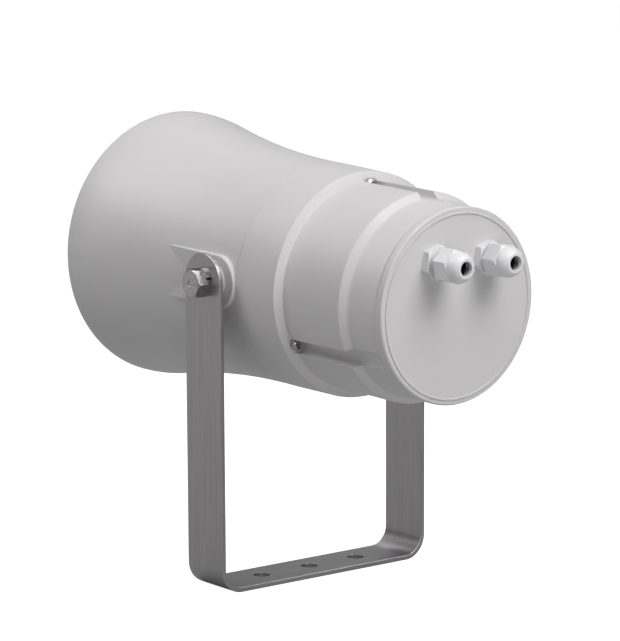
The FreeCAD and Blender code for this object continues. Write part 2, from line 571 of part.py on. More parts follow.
def housing():
    """The moulded rear housing: stepped pot with three screw slots, a rounded rim and a fine bead."""
    body = new_body("rear_housing")
    bead_inner = "(bead_radius - bead_width)"
    turn(body, outline(body, "XY_Plane", [
        ("0", "joint_reach"), ("neck_radius - joint_break", "joint_reach"),
        ("neck_radius", "joint_reach + joint_break"),
        ("flange_radius", "flange_end - edge_round", "edge_round"),
        ("flange_radius - edge_round * 0.8", "flange_end + edge_round * 0.2"),
        ("body_radius + edge_round", "flange_end + flange_slope - edge_round * 0.4", "-edge_round"),
        ("body_radius", "flange_end + flange_slope + edge_round * 0.6"),
        ("body_end_radius", "body_end - edge_round", "2 * edge_round"),
        ("body_end_radius - edge_round * 0.6", "body_end + edge_round * 0.5"),
        ("tail_radius + edge_round", "body_end + shoulder - edge_round * 0.7", "-3 * edge_round"),
        ("tail_radius", "body_end + shoulder + edge_round"), ("tail_end_radius", "tail_end"),
        ("rim_radius", "tail_end + 2"), ("rim_radius", "rear_reach - rim_round", "rim_round"),
        ("rim_radius - rim_round", "rear_reach"), ("bead_radius", "rear_reach"),
        ("bead_radius", "rear_reach + bead_height"), (bead_inner, "rear_reach + bead_height"),
        (bead_inner, "rear_reach"), ("0", "rear_reach")]))
    turn(body, outline(body, "XY_Plane", [
        ("0", "joint_reach - 1"), ("neck_radius - rim_wall", "joint_reach - 1"),
        ("flange_radius - housing_wall", "flange_end - housing_wall"),
        ("body_radius - housing_wall", "flange_end + flange_slope - housing_wall"),
        ("body_end_radius - housing_wall", "body_end - housing_wall * 0.8"),
        ("tail_radius - housing_wall", "body_end + shoulder - housing_wall * 0.8"),
        ("tail_end_radius - housing_wall", REAR_WALL), ("0", REAR_WALL)]), cut=True)
    # Walls of the three slots, inside: as high as the outer wall allows in each part
    rib = "(slot_rear / 2 + slot_rib)"
    under = "(slot_floor - housing_wall + 0.2)"
    front = "(flange_end + flange_slope - housing_wall)"
    tail = "(body_end + shoulder)"
    for start, end, top in (
            (front, "body_end", "body_end_radius - housing_wall / 2"),
            ("body_end", f"({tail} + 1)", "tail_radius - 0.8"),
            (tail, REAR_WALL, "slot_floor")):
        wall = outline(body, "XZ_Plane", box_corners(f"-{rib}", rib, under, top), f"-{start}")
        repeat(body, push(body, wall, f"{end} - {start}", flip=True), 3)
    tower = circles(body, "XZ_Plane", [("0", "screw_circle", "screw_boss")], "-joint_reach")
    repeat(body, push(body, tower, f"{front} - joint_reach", flip=True), 3)
    # Slots that widen to the rear, screw seats and screw bores
    sections = [slot_section(body, width, rounding, place) for width, rounding, place in (
        ("slot_front", "slot_front_round", SCREW_SEAT), ("slot_rear", "slot_rear_round", "tail_end"))]
    repeat(body, blend(body, *sections), 3, cut=True)
    seat = circles(body, "XZ_Plane", [("0", "screw_circle", "seat_radius")], f"-{SCREW_SEAT}")
    repeat(body, push(body, seat, "seat_length", cut=True), 3, cut=True)
    shank = [("0", "screw_circle", "screw_shank / 2 + screw_play")]
    bore = circles(body, "XZ_Plane", shank, "-joint_reach + 1")
    repeat(body, push(body, bore, f"{SCREW_SEAT} - joint_reach + 2", cut=True), 3, cut=True)
    entries = circles(body, "XZ_Plane", [(side, "gland_lift", "gland_thread / 2 + fit_gap")
                                         for side in ("-gland_offset", "gland_offset")], f"-{REAR_WALL} + 1")
    push(body, entries, "housing_wall + 2", cut=True)
    return body


def joint_gasket():
    """The ring that seals the joint, as deep as its groove."""
    return ring("joint_gasket", f"{GASKET_RADIUS} - gasket_width / 2", f"{GASKET_RADIUS} + gasket_width / 2",
                "joint_reach - gasket_depth", "joint_reach")


def pan_screw(label, shank, length, head, head_height, **where):
    """A pan-head screw with a cross recess. Its own origin is under the head, and the head is towards +Y."""
    shank, length, head, head_height = (f"({size})" for size in (shank, length, head, head_height))
    body = new_body(label, **where)
    turn(body, outline(body, "XY_Plane", [
        ("0", f"-{length}"), (f"{shank} / 2 - 0.5", f"-{length}"), (f"{shank} / 2", f"-{length} + 0.5"),
        (f"{shank} / 2", "0"), (f"{head} / 2", "0"), (f"{head} / 2", f"{head_height} * 0.45", f"{head} * 0.45"),
        (f"{head} / 4", head_height), ("0", head_height)]))
    arm, half = f"{head} * 0.29", f"{head} * 0.055"
    recess = outline(body, "XZ_Plane", [
        (half, half), (half, arm), (f"-{half}", arm), (f"-{half}", half), (f"-{arm}", half),
        (f"-{arm}", f"-{half}"), (f"-{half}", f"-{half}"), (f"-{half}", f"-{arm}"), (half, f"-{arm}"),
        (half, f"-{half}"), (arm, f"-{half}"), (arm, half)], f"-{head_height} * 0.45")
    push(body, recess, head_height, cut=True)
    return body


def group(label, members):
    """Like fasteners that share one node as separate solids."""
    whole = doc.addObject("Part::Compound", label)
    whole.Label = label
    whole.Links = members
    for member in members:
        pieces.remove(member)
    pieces.append(whole)
    return whole


def housing_screws():
    """The three screws in the slots, through the housing into the bell."""
    members = []
    for index, angle in enumerate(("90", "210", "330"), start=1):
        across, up = tilted(angle, "screw_circle")
        members.append(pan_screw(
            f"housing_screw_{index}", "screw_shank", f"{SCREW_SEAT} - joint_reach + screw_bite", "screw_head",
            "screw_head_height", place=(across, SCREW_SEAT, up)))
    return group("housing_screws", members)


def pivot_side(side, spin):
    """Bolt, split washer and threaded insert on one side; the far side is the same turned half round."""
    bolt = new_body(f"pivot_bolt_{side}", spin=spin)
    head = outline(bolt, "YZ_Plane", hexagon_corners("bolt_flats", pointed_up=False), HEAD_SEAT)
    push(bolt, head, "bolt_head")
    shank = circles(bolt, "YZ_Plane", [("0", "0", "bolt_diameter / 2")], HEAD_SEAT)
    push(bolt, shank, "bolt_length", flip=True)
    flat = "(bolt_flats * 0.48)"
    beyond = f"({HEX} * bolt_flats + 1)"
    turn(bolt, outline(bolt, "XY_Plane", [
        (HEAD_FACE, flat), (HEAD_FACE, beyond), (f"{HEAD_FACE} - ({beyond} - {flat}) * {HEX}", beyond)]),
        axis="H_Axis", cut=True)
    dimple = circles(bolt, "YZ_Plane", [("0", "0", "bolt_diameter * 0.22")], HEAD_FACE)
    push(bolt, dimple, "0.4", cut=True)
    soften(bolt, circle_edge("bolt_diameter / 2", f"{HEAD_SEAT} - bolt_length", "x"), "0.8", "Chamfer")
    washer = new_body(f"split_washer_{side}", spin=spin)
    edges = [("0", "0", "washer_radius"), ("0", "0", "bolt_diameter / 2 + 0.2")]
    band = circles(washer, "YZ_Plane", edges, HALF_SPAN)
    push(washer, band, "washer_gauge")
    split = outline(washer, "YZ_Plane", [
        ("bolt_diameter / 4", "1.2"), ("washer_radius + 1", "3.0"), ("washer_radius + 1", "4.4"),
        ("bolt_diameter / 4", "2.4")], HALF_SPAN)
    push(washer, split, "3 * washer_gauge", cut=True, both=True)
    insert = new_body(f"pivot_insert_{side}", spin=spin)
    edges = [("0", "0", "insert_radius"), ("0", "0", "bolt_diameter / 2 + thread_play")]
    sleeve = circles(insert, "YZ_Plane", edges, f"{BOSS_FACE} - insert_length")
    push(insert, sleeve, "insert_length")


def gland(side, offset, slack, skew):
    """One cable gland: fixed hexagon with its claws, rubber seal, dome nut, sealing ring and locknut."""
    where = {"place": (offset, "rear_reach", "gland_lift")}
    nut_start = f"(gland_flange + gland_gap + {slack})"
    shoulder = f"({nut_start} + gland_nut_hex)"
    tip = f"({shoulder} + gland_dome)"
    near = "(gland_flats * 0.5)"
    corner = f"({HEX} * gland_flats + 1)"
    top_bore = "(gland_top / 2 + fit_gap)"
    base = new_body(f"gland_body_{side}", spin=Rotation(Vector(0, 1, 0), -10), **where)
    hexagon = outline(base, "XZ_Plane", hexagon_corners("gland_flats"))
    push(base, hexagon, "gland_flange", flip=True)
    claw_start = f"({shoulder} - gland_nut_hex * 0.4)"
    claw_end = f"({shoulder} + gland_dome * 0.2)"
    turn(base, outline(base, "XY_Plane", [
        ("0", "-gland_tail"), ("gland_thread / 2", "-gland_tail"), ("gland_thread / 2", "ring_gauge"),
        ("gland_top / 2", "ring_gauge"), ("gland_top / 2", claw_start),
        ("gland_way / 2 + 1.4 * seal_wall", claw_start), ("gland_way / 2 + 0.8 * seal_wall", claw_end),
        ("0", claw_end)]))
    way = outline(base, "XY_Plane", box_corners("0", "gland_way / 2", "-gland_tail - 1", f"{claw_end} + 1"))
    turn(base, way, cut=True)
    ring_room = box_corners("gland_thread / 2", "gland_flats / 2 - 0.1", "-1", "ring_gauge")
    turn(base, outline(base, "XY_Plane", ring_room), cut=True)
    slit = outline(base, "XZ_Plane", box_corners(
        "-seal_wall / 2", "seal_wall / 2", "gland_way / 4", "gland_top"), f"-{claw_start}")
    repeat(base, push(base, slit, "gland_dome", cut=True), 8, cut=True)
    turn(base, outline(base, "XY_Plane", [
        (near, "gland_flange"), (corner, "gland_flange"),
        (corner, f"gland_flange - ({corner} - {near}) * {HEX}")]), cut=True)

    nut = new_body(f"gland_nut_{side}", spin=Rotation(Vector(0, 1, 0), skew), **where)
    prism = outline(nut, "XZ_Plane", hexagon_corners("gland_flats"), f"-{nut_start}")
    push(nut, prism, "gland_nut_hex", flip=True)
    turn(nut, outline(nut, "XY_Plane", [
        (near, f"{shoulder} + 0.2"), (corner, f"{shoulder} + 0.2"),
        (corner, f"{shoulder} - ({corner} - {near}) * 0.9")]), cut=True)
    round_top = "(gland_flats / 2 - 0.15)"
    turn(nut, outline(nut, "XY_Plane", [
        ("0", f"{shoulder} - 0.5"), (round_top, f"{shoulder} - 0.5"),
        (round_top, f"{shoulder} + gland_dome * 0.11", "gland_dome"), ("gland_tip / 2", tip),
        ("0", tip)]))
    turn(nut, outline(nut, "XY_Plane", [
        ("0", f"{nut_start} - 1"), (top_bore, f"{nut_start} - 1"), (top_bore, shoulder),
        ("gland_bore / 2", f"{tip} - gland_lip"), ("gland_bore / 2", f"{tip} + 1"), ("0", f"{tip} + 1")]), cut=True)

    ring(f"gland_seal_{side}", "gland_way / 2 - fit_gap - seal_wall", "gland_way / 2 - fit_gap",
         f"{nut_start} + seal_wall", f"{shoulder} + seal_wall", **where)
    ring(f"gland_ring_{side}", "gland_thread / 2 + fit_gap", "gland_flats / 2 - 0.2", "0", "ring_gauge",
         **where)
    locknut = new_body(f"gland_locknut_{side}", **where)
    plate = outline(locknut, "XZ_Plane", hexagon_corners("locknut_flats"), "housing_wall")
    push(locknut, plate, "locknut_height")
    thread = circles(locknut, "XZ_Plane", [("0", "0", "gland_thread / 2 + fit_gap")], "housing_wall - 1")
    push(locknut, thread, "locknut_height + 2", cut=True, flip=True)


def throat_tube():
    """The tapered tube from the driver, with its flange, three fins and the hub that carries the reflector."""
    body = new_body("throat_tube")
    turn(body, outline(body, "XY_Plane", [
        ("throat_radius", f"{BULKHEAD_REAR} + throat_plate"), ("tube_radius", "-tube_reach"),
        ("tube_radius + tube_wall", "-tube_reach"), (TUBE_NECK, "bulkhead_front - 1"),
        (TUBE_NECK, BULKHEAD_REAR), ("throat_flange", BULKHEAD_REAR),
        ("throat_flange", f"{BULKHEAD_REAR} + throat_plate")]))
    taper = "(cup_radius - cup_front_radius) / (cup_nose - cup_open)"
    wall = "(cup_radius - cup_wall - 2 * fit_gap)"
    rear = "(cup_open + 15)"
    hub_rear = "(hub_front - hub_length)"
    fin = outline(body, "YZ_Plane", [
        ("-hub_front", "hub_radius / 2"), ("-hub_front + 4", "cup_front_radius * 0.6"),
        ("-cup_nose", f"{wall} - (cup_nose - cup_open) * {taper}"),
        (f"-{rear}", f"{wall} - ({rear} - cup_open) * {taper}"),
        (f"-{rear}", f"{TUBE_NECK} + 1"), ("-tube_reach", "tube_radius + tube_wall / 2"),
        (f"-{hub_rear}", "hub_radius / 2")])
    repeat(body, push(body, fin, "fin_gauge", both=True), 3)
    hub = circles(body, "XZ_Plane", [("0", "0", "hub_radius")], "hub_front")
    push(body, hub, "hub_length", flip=True)
    thread = circles(body, "XZ_Plane", [("0", "0", "nose_screw / 2 + thread_play")], "hub_front")
    push(body, thread, "hub_length - 1", cut=True)
    return body


def reflector():
    """The cup that turns the sound back, open to the rear, with a round nose and a screw recess."""
    body = new_body("reflector")
    nose = "(cup_tip - cup_nose)"
    nose_radius = f"((cup_front_radius ^ 2 + {nose} ^ 2) / (2 * {nose}))"
    turn(body, outline(body, "XY_Plane", [
        ("cup_radius", "-cup_open"), ("cup_radius - cup_wall", "-cup_open"),
        ("cup_front_radius - cup_wall", "-cup_nose", f"-({nose_radius} - cup_wall)"),
        ("0", "-cup_tip + cup_wall"), ("0", "-cup_tip", nose_radius), ("cup_front_radius", "-cup_nose")]))
    seat = circles(body, "XZ_Plane", [("0", "0", "hub_radius + 1")], "hub_front")
    push(body, seat, "cup_tip - hub_front - 2")
    recess = circles(body, "XZ_Plane", [("0", "0", "nose_screw * 1.06")], "cup_tip + 1")
    push(body, recess, "nose_sink + 1", cut=True)
    bore = circles(body, "XZ_Plane", [("0", "0", "nose_screw / 2 + screw_play")], "cup_tip + 1")
    push(body, bore, "cup_tip - hub_front + 3", cut=True)
    return body


def reflector_screw():
    """The screw through the nose into the hub, with its head to the front."""
    return pan_screw("reflector_screw", "nose_screw", "nose_length", "nose_screw * 1.88", "nose_screw * 0.64",
                     place=("0", "-(cup_tip - nose_sink)", "0"), spin=Rotation(Vector(0, 0, 1), 180))


def driver():
    """The compression driver behind the bulkhead, from the throat gasket to the back plate."""
    corner = tilted("45", "driver_circle")
    hole = (*corner, "driver_shank / 2 + screw_play")
    ring("throat_gasket", "throat_radius", "throat_flange - 2", f"{BULKHEAD_REAR} + throat_plate", GASKET_FACE)

    cover = new_body("driver_cover")
    sphere = "((dome_radius ^ 2 + dome_height ^ 2) / (2 * dome_height))"
    depth = "(dome_height + 0.8)"
    rear_sphere = f"((dome_radius ^ 2 + {depth} ^ 2) / (2 * {depth}))"
    hole_edge = f"{COVER_REAR} - {depth} + {rear_sphere} - sqrt({rear_sphere} ^ 2 - throat_radius ^ 2)"
    turn(cover, outline(cover, "XY_Plane", [
        ("throat_radius", GASKET_FACE), ("throat_flange + 0.5", GASKET_FACE),
        ("throat_flange + 0.5", BULKHEAD_REAR), ("cover_radius", BULKHEAD_REAR), ("cover_radius", COVER_REAR),
        ("dome_radius", COVER_REAR, f"-{rear_sphere}"), ("throat_radius", hole_edge)]))
    fixing = circles(cover, "XZ_Plane", [hole], f"-{BULKHEAD_REAR} + 1")
    repeat(cover, push(cover, fixing, "cover_wall + 2", cut=True), 4, cut=True)

    plug = new_body("phase_plug")
    plug_rear = f"({COVER_REAR} - {depth})"
    turn(plug, outline(plug, "XY_Plane", [
        ("0", f"{plug_rear} - 13"), ("throat_radius * 0.6", plug_rear), ("0", plug_rear)]))
    turn(plug, outline(plug, "XY_Plane", box_corners(
        "throat_radius - fit_gap - 1.2", "throat_radius - fit_gap", f"{plug_rear} - 3.5", plug_rear)))
    web = outline(plug, "XZ_Plane", box_corners("-0.7", "0.7", "throat_radius * 0.3", "throat_radius - 0.6"),
                  f"-{plug_rear}")
    repeat(plug, push(plug, web, "3"), 3)

    film = new_body("diaphragm")
    coil_outer, coil_inner = "(coil_radius + coil_wall / 2)", "(coil_radius - coil_wall / 2)"
    film_rear = f"({COVER_REAR} + film_gauge)"
    centre = f"({COVER_REAR} - dome_height + {sphere})"
    under = f"({sphere} - film_gauge)"
    turn(film, outline(film, "XY_Plane", [
        ("0", f"{COVER_REAR} - dome_height", sphere), ("dome_radius", COVER_REAR),
        ("surround_radius", COVER_REAR), ("surround_radius", film_rear), (coil_outer, film_rear),
        (coil_outer, f"{film_rear} + coil_length"), (coil_inner, f"{film_rear} + coil_length"),
        (coil_inner, f"{centre} - sqrt({under} ^ 2 - {coil_inner} ^ 2)", f"-{under}"),
        ("0", f"{COVER_REAR} - dome_height + film_gauge")]))

    clamp = new_body("clamp_ring")
    turn(clamp, outline(clamp, "XY_Plane", [
        ("dome_radius + 6", film_rear), ("surround_radius + fit_gap", film_rear),
        ("surround_radius + fit_gap", COVER_REAR), ("cover_radius", COVER_REAR), ("cover_radius", CLAMP_REAR),
        ("dome_radius + 6", CLAMP_REAR)]))
    fixing = circles(clamp, "XZ_Plane", [hole], f"-{COVER_REAR} + 1")
    repeat(clamp, push(clamp, fixing, "clamp_gauge + 2", cut=True), 4, cut=True)

    top = ring("top_plate", f"{coil_outer} + air_gap", "cover_radius", CLAMP_REAR, TOP_REAR)
    fixing = circles(top, "XZ_Plane", [hole], f"-{CLAMP_REAR} + 1")
    repeat(top, push(top, fixing, "top_plate_gauge + 2", cut=True), 4, cut=True)
    ring("magnet_ring", "magnet_bore", "magnet_radius", TOP_REAR, MAGNET_REAR)

    back = new_body("back_plate")
    pole = f"({coil_inner} - air_gap)"
    turn(back, outline(back, "XY_Plane", [
        ("0", CLAMP_REAR), (pole, CLAMP_REAR), (pole, MAGNET_REAR), ("magnet_radius", MAGNET_REAR),
        ("magnet_radius", MOTOR_REAR), ("0", MOTOR_REAR)]))
    studs = circles(back, "XZ_Plane", [(side, "0", "pillar_screw / 2 + thread_play")
                                       for side in ("-pillar_place", "pillar_place")], f"-{MOTOR_REAR} - 1")
    push(back, studs, "back_plate_gauge + 1", cut=True, flip=True)

    members = []
    for index, angle in enumerate(("45", "135", "225", "315"), start=1):
        across, up = tilted(angle, "driver_circle")
        members.append(pan_screw(
            f"driver_screw_{index}", "driver_shank", f"{TOP_REAR} - {BULKHEAD_REAR} + driver_bite",
            "driver_head", "driver_head * 0.4", place=(across, TOP_REAR, up)))
    group("driver_screws", members)


def transformer():
    """The line transformer on its bracket behind the driver."""
    cradle = new_body("transformer_bracket")
    inner = "(core_width / 2 + 2 * fit_gap)"
    outer = f"({inner} + plate_gauge)"
    wing = "(pillar_place + pillar_flats)"
    lip = f"{PLATE_REAR} + core_depth / 2"
    section = outline(cradle, "XY_Plane", [
        (f"-{wing}", MOTOR_REAR), (wing, MOTOR_REAR), (wing, PLATE_REAR), (outer, PLATE_REAR), (outer, lip),
        (inner, lip), (inner, PLATE_REAR), (f"-{inner}", PLATE_REAR), (f"-{inner}", lip), (f"-{outer}", lip),
        (f"-{outer}", PLATE_REAR), (f"-{wing}", PLATE_REAR)])
    push(cradle, section, "core_stack + 4", both=True)
    studs = circles(cradle, "XZ_Plane", [(side, "0", "pillar_screw / 2 + screw_play")
                                         for side in ("-pillar_place", "pillar_place")], f"-{MOTOR_REAR} + 1")
    push(cradle, studs, "plate_gauge + 2", cut=True)

    core = new_body("transformer_core")
    block = outline(core, "XY_Plane", box_corners("-core_width / 2", "core_width / 2", PLATE_REAR,
                                                  f"{PLATE_REAR} + core_depth"))
    push(core, block, "core_stack", both=True)
    window = outline(core, "XY_Plane", box_corners(
        "limb_width / 2", "core_width / 2 - yoke_width", f"{PLATE_REAR} + yoke_width",
        f"{PLATE_REAR} + core_depth - yoke_width"))
    mirror(core, push(core, window, "2 * core_stack", cut=True, both=True), cut=True)

    coil = new_body("transformer_coil")
    across, high = "(limb_width / 2 + coil_build)", "(core_stack / 2 + coil_build)"
    winding = outline(coil, "XZ_Plane", box_corners(f"-{across}", across, f"-{high}", high),
                      f"-({PLATE_REAR} + core_depth - yoke_width - 2 * fit_gap)")
    push(coil, winding, "core_depth - 2 * yoke_width - 4 * fit_gap")
    way = outline(coil, "XZ_Plane", box_corners(
        "-limb_width / 2 - fit_gap", "limb_width / 2 + fit_gap", "-core_stack / 2 - fit_gap",
        "core_stack / 2 + fit_gap"), f"-{PLATE_REAR}")
    push(coil, way, "core_depth", cut=True)


def terminals():
    """The pillars, the board that they carry and the terminal block on it."""
    pillars = []
    screws = []
    for side, offset in (("left", "-pillar_place"), ("right", "pillar_place")):
        pillar = new_body(f"pillar_{side}", place=(offset, PLATE_REAR, "0"))
        prism = outline(pillar, "XZ_Plane", hexagon_corners("pillar_flats"))
        push(pillar, prism, "pillar_length", flip=True)
        stud = circles(pillar, "XZ_Plane", [("0", "0", "pillar_screw / 2")])
        push(pillar, stud, "plate_gauge + back_plate_gauge * 0.9")
        thread = circles(pillar, "XZ_Plane", [("0", "0", "pillar_screw / 2 + thread_play")],
                         "-pillar_length - 1")
        push(pillar, thread, "pillar_length * 0.2", cut=True, flip=True)
        pillars.append(pillar)
        screws.append(pan_screw(
            f"board_screw_{side}", "pillar_screw", "pillar_length * 0.15 + board_gauge", "2 * pillar_screw",
            "pillar_screw * 0.73", place=(offset, BOARD_REAR, "0")))
    group("pillars", pillars)
    group("board_screws", screws)

    board = new_body("terminal_board")
    sheet_outline = outline(board, "XZ_Plane", box_corners(
        "-board_width / 2", "board_width / 2", "-board_height / 2", "board_height / 2"), f"-{BOARD_FRONT}")
    push(board, sheet_outline, "board_gauge", flip=True)
    holes = circles(board, "XZ_Plane", [(side, "0", "pillar_screw / 2 + screw_play")
                                        for side in ("-pillar_place", "pillar_place")], f"-{BOARD_FRONT} + 1")
    push(board, holes, "board_gauge + 2", cut=True)

    block = new_body("terminal_block")
    body_outline = outline(block, "XZ_Plane", box_corners(
        "-block_width / 2", "block_width / 2", "-block_height / 2", "block_height / 2"), f"-{BOARD_REAR}")
    push(block, body_outline, "block_depth", flip=True)
    steps = ("-1.5 * terminal_pitch", "-0.5 * terminal_pitch", "0.5 * terminal_pitch", "1.5 * terminal_pitch")
    middle = f"{BOARD_REAR} + block_depth * 0.4"
    wires = circles(block, "XY_Plane", [(step, middle, "terminal_pitch / 4") for step in steps])
    push(block, wires, "block_height + 2", cut=True, both=True)
    wells = circles(block, "XZ_Plane", [(step, "0", "terminal_pitch * 0.3") for step in steps],
                    f"-{BOARD_REAR} - block_depth / 2")
    push(block, wells, "block_depth", cut=True)
    members = []
    for index, step in enumerate(steps, start=1):
        members.append(pan_screw(
            f"terminal_screw_{index}", "terminal_pitch / 3", "block_depth * 0.2", "terminal_pitch * 0.5",
            "terminal_pitch * 0.27", place=(step, f"{BOARD_REAR} + block_depth / 2", "0")))
    group("terminal_screws", members)


def export():
    """Checks every object and writes each piece to its file."""
    doc.recompute()
    for item in doc.Objects:
        if "Invalid" in item.State or "Error" in item.State:
            raise RuntimeError(f"{item.Name} failed: {item.State}")
    os.makedirs("parts", exist_ok=True)
    for piece in pieces:
        if piece.Shape.isNull() or not piece.Shape.isValid() or not piece.Shape.Solids:
            raise RuntimeError(f"{piece.Label} has no valid solid")
        piece.Shape.exportStep(f"parts/{piece.Label}.step")
        print(f"{piece.Label}: {len(piece.Shape.Solids)} solid, {piece.Shape.Volume / 1000:.2f} cm3")


bracket()
bell()
throat_tube()
reflector()
reflector_screw()
housing()
joint_gasket()
housing_screws()
pivot_side("right", Rotation())
pivot_side("left", Rotation(Vector(0, 0, 1), 180))
gland("right", "gland_offset", "gland_slack", 13)
gland("left", "-gland_offset", "-gland_slack", 24)
driver()
transformer()
terminals()
export()
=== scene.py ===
"""Horn speaker on a stirrup bracket: finishes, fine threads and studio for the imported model, in metres."""

import json
import math

import bpy
import numpy as np
from mathutils import Matrix, Vector


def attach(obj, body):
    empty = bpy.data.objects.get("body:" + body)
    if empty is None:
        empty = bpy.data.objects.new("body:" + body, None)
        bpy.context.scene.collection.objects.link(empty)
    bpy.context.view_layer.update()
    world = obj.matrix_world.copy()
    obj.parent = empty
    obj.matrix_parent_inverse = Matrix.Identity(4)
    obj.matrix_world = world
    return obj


bl_info = {
    "name": "Horn Speaker Finishes",
    "version": (1, 0, 0),
    "blender": (4, 5, 0),
    "location": "View3D > Sidebar > Horn",
    "description": "Dresses the horn speaker with its real finishes and fine threads, and sets up the studio",
    "category": "Object",
}

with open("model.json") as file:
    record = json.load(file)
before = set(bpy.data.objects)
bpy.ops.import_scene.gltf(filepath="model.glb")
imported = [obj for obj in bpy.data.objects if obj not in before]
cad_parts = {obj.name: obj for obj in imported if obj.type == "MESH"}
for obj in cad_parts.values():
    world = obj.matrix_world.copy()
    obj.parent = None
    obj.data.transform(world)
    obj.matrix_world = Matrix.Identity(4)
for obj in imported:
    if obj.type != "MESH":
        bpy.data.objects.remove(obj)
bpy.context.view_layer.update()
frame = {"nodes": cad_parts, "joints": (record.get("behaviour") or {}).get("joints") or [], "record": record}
MM = 0.001
PIVOT = Vector(frame["joints"][0]["pos_m"])
# The rear of the horn hangs this much below level at rest
TILT = math.radians(3.0)
# A thread's rings in one turn, the share of the pitch that its ridge takes, the points of its section, and the
# turns over which an end fades
THREAD_RINGS = 96
RIDGE_WIDTH = 0.8
RIDGE_POINTS = 6
THREAD_FADE = 0.25
# Distance along the horn's axis to the middle of the gland's hexagons, and their height over it, in millimetres
GLAND_BACK = 138.8
GLAND_LIFT = 26.9
# The photograph's angles in degrees, distance in metres, focal length in pixels and longer side in pixels
AZIMUTH, ELEVATION, ROLL = 141.9, 7.962, -0.288
DISTANCE = 1.4776
FOCAL, LONG_SIDE = 2415.2, 641
SENSOR = 36


# Colour and nodes


def from_hex(text):
    """An sRGB hex value as linear red, green, blue and alpha: each channel's standard curve undone."""
    channels = [int(text[place:place + 2], 16) / 255 for place in (1, 3, 5)]
    return tuple(c / 12.92 if c <= 0.04045 else ((c + 0.055) / 1.055) ** 2.4 for c in channels) + (1.0,)


def add(tree, kind, settings=None, links=None):
    """Adds one node. Settings are values of its properties or sockets, links are outputs that feed its sockets."""
    made = tree.nodes.new(kind)
    for name, value in (settings or {}).items():
        if isinstance(name, str) and hasattr(made, name):
            setattr(made, name, value)
        else:
            made.inputs[name].default_value = value
    for name, output in (links or {}).items():
        tree.links.new(output, made.inputs[name])
    return made


def new_finish(name, colour, roughness, **shader):
    """A material with one principled shader, and its object coordinates in millimetres."""
    material = bpy.data.materials.new(name)
    material.use_nodes = True
    tree = material.node_tree
    tree.nodes.clear()
    surface = add(tree, "ShaderNodeBsdfPrincipled", {"Base Color": from_hex(colour), "Roughness": roughness})
    for socket, value in shader.items():
        surface.inputs[socket.replace("_", " ")].default_value = value
    add(tree, "ShaderNodeOutputMaterial", links={"Surface": surface.outputs[0]})
    place = add(tree, "ShaderNodeTexCoord")
    scaled = add(tree, "ShaderNodeVectorMath", {"operation": "SCALE", "Scale": 1 / MM}, {0: place.outputs["Object"]})
    material.diffuse_color = from_hex(colour)
    return material, tree, surface, scaled.outputs[0]


def stretched(tree, place, factors):
    """Coordinates in millimetres, multiplied along each axis."""
    return add(tree, "ShaderNodeVectorMath", {"operation": "MULTIPLY", 1: factors}, {0: place}).outputs[0]


def mottle(tree, surface, place, size, low, high, detail=2.0):
    """Colour that drifts between two hex values in patches of a size in millimetres."""
    noise = add(tree, "ShaderNodeTexNoise", {"Scale": 1 / size, "Detail": detail}, {"Vector": place})
    ramp = add(tree, "ShaderNodeValToRGB", links={"Fac": noise.outputs[0]})
    for stop, (where, colour) in zip(ramp.color_ramp.elements, ((0.3, low), (0.7, high))):
        stop.position = where
        stop.color = from_hex(colour)
    tree.links.new(ramp.outputs[0], surface.inputs["Base Color"])


def uneven_gloss(tree, surface, place, size, low, high):
    """Roughness that drifts between two values in patches of a size in millimetres."""
    noise = add(tree, "ShaderNodeTexNoise", {"Scale": 1 / size, "Detail": 2.0}, {"Vector": place})
    spread = add(tree, "ShaderNodeMapRange", {"From Min": 0.3, "From Max": 0.7, "To Min": low, "To Max": high},
                 {"Value": noise.outputs[0]})
    tree.links.new(spread.outputs[0], surface.inputs["Roughness"])


def relief(tree, surface, height, depth, strength, under=None):
    """Bump from a height that runs from 0 to 1, with its depth in millimetres."""
    links = {"Height": height}
    if under is not None:
        links["Normal"] = under
    bump = add(tree, "ShaderNodeBump", {"Distance": depth * MM, "Strength": strength}, links)
    tree.links.new(bump.outputs[0], surface.inputs["Normal"])


def eased_edges(tree, radius):
    """A normal that rounds every edge by a radius in millimetres, as moulding and tumbling leave them."""
    return add(tree, "ShaderNodeBevel", {"samples": 6, "Radius": radius * MM}).outputs[0]


# Finishes, each named for what the real one is


def moulded_asa(settings):
    """ASA housing plastic, injection moulded in a spark-eroded tool: satin, pale warm grey, with a fine even grain."""
    material, tree, surface, place = new_finish("asa_spark_eroded_satin", settings.plastic, 0.46, IOR=1.49)
    mottle(tree, surface, place, 70, settings.plastic_low, settings.plastic, 1.0)
    uneven_gloss(tree, surface, place, 25, 0.42, 0.5)
    # The eroded grain is about 0.1 mm; 0.35 mm is the finest that shows at this distance
    grain = add(tree, "ShaderNodeTexNoise", {"Scale": 1 / 0.35, "Detail": 1.0}, {"Vector": place})
    relief(tree, surface, grain.outputs[0], 0.012, 0.35, eased_edges(tree, 0.4))
    return material


def moulded_nylon(settings):
    """Polyamide gland, polished tool: near white and a little translucent, glossier than the housing."""
    material, tree, surface, place = new_finish(
        "polyamide_moulded_white", settings.nylon, 0.36, IOR=1.53, Subsurface_Weight=0.06, Subsurface_Scale=0.001,
        Subsurface_Radius=(1.0, 0.95, 0.9))
    uneven_gloss(tree, surface, place, 6, 0.32, 0.4)
    grain = add(tree, "ShaderNodeTexNoise", {"Scale": 1 / 0.5, "Detail": 1.0}, {"Vector": place})
    relief(tree, surface, grain.outputs[0], 0.01, 0.2, eased_edges(tree, 0.35))
    return material


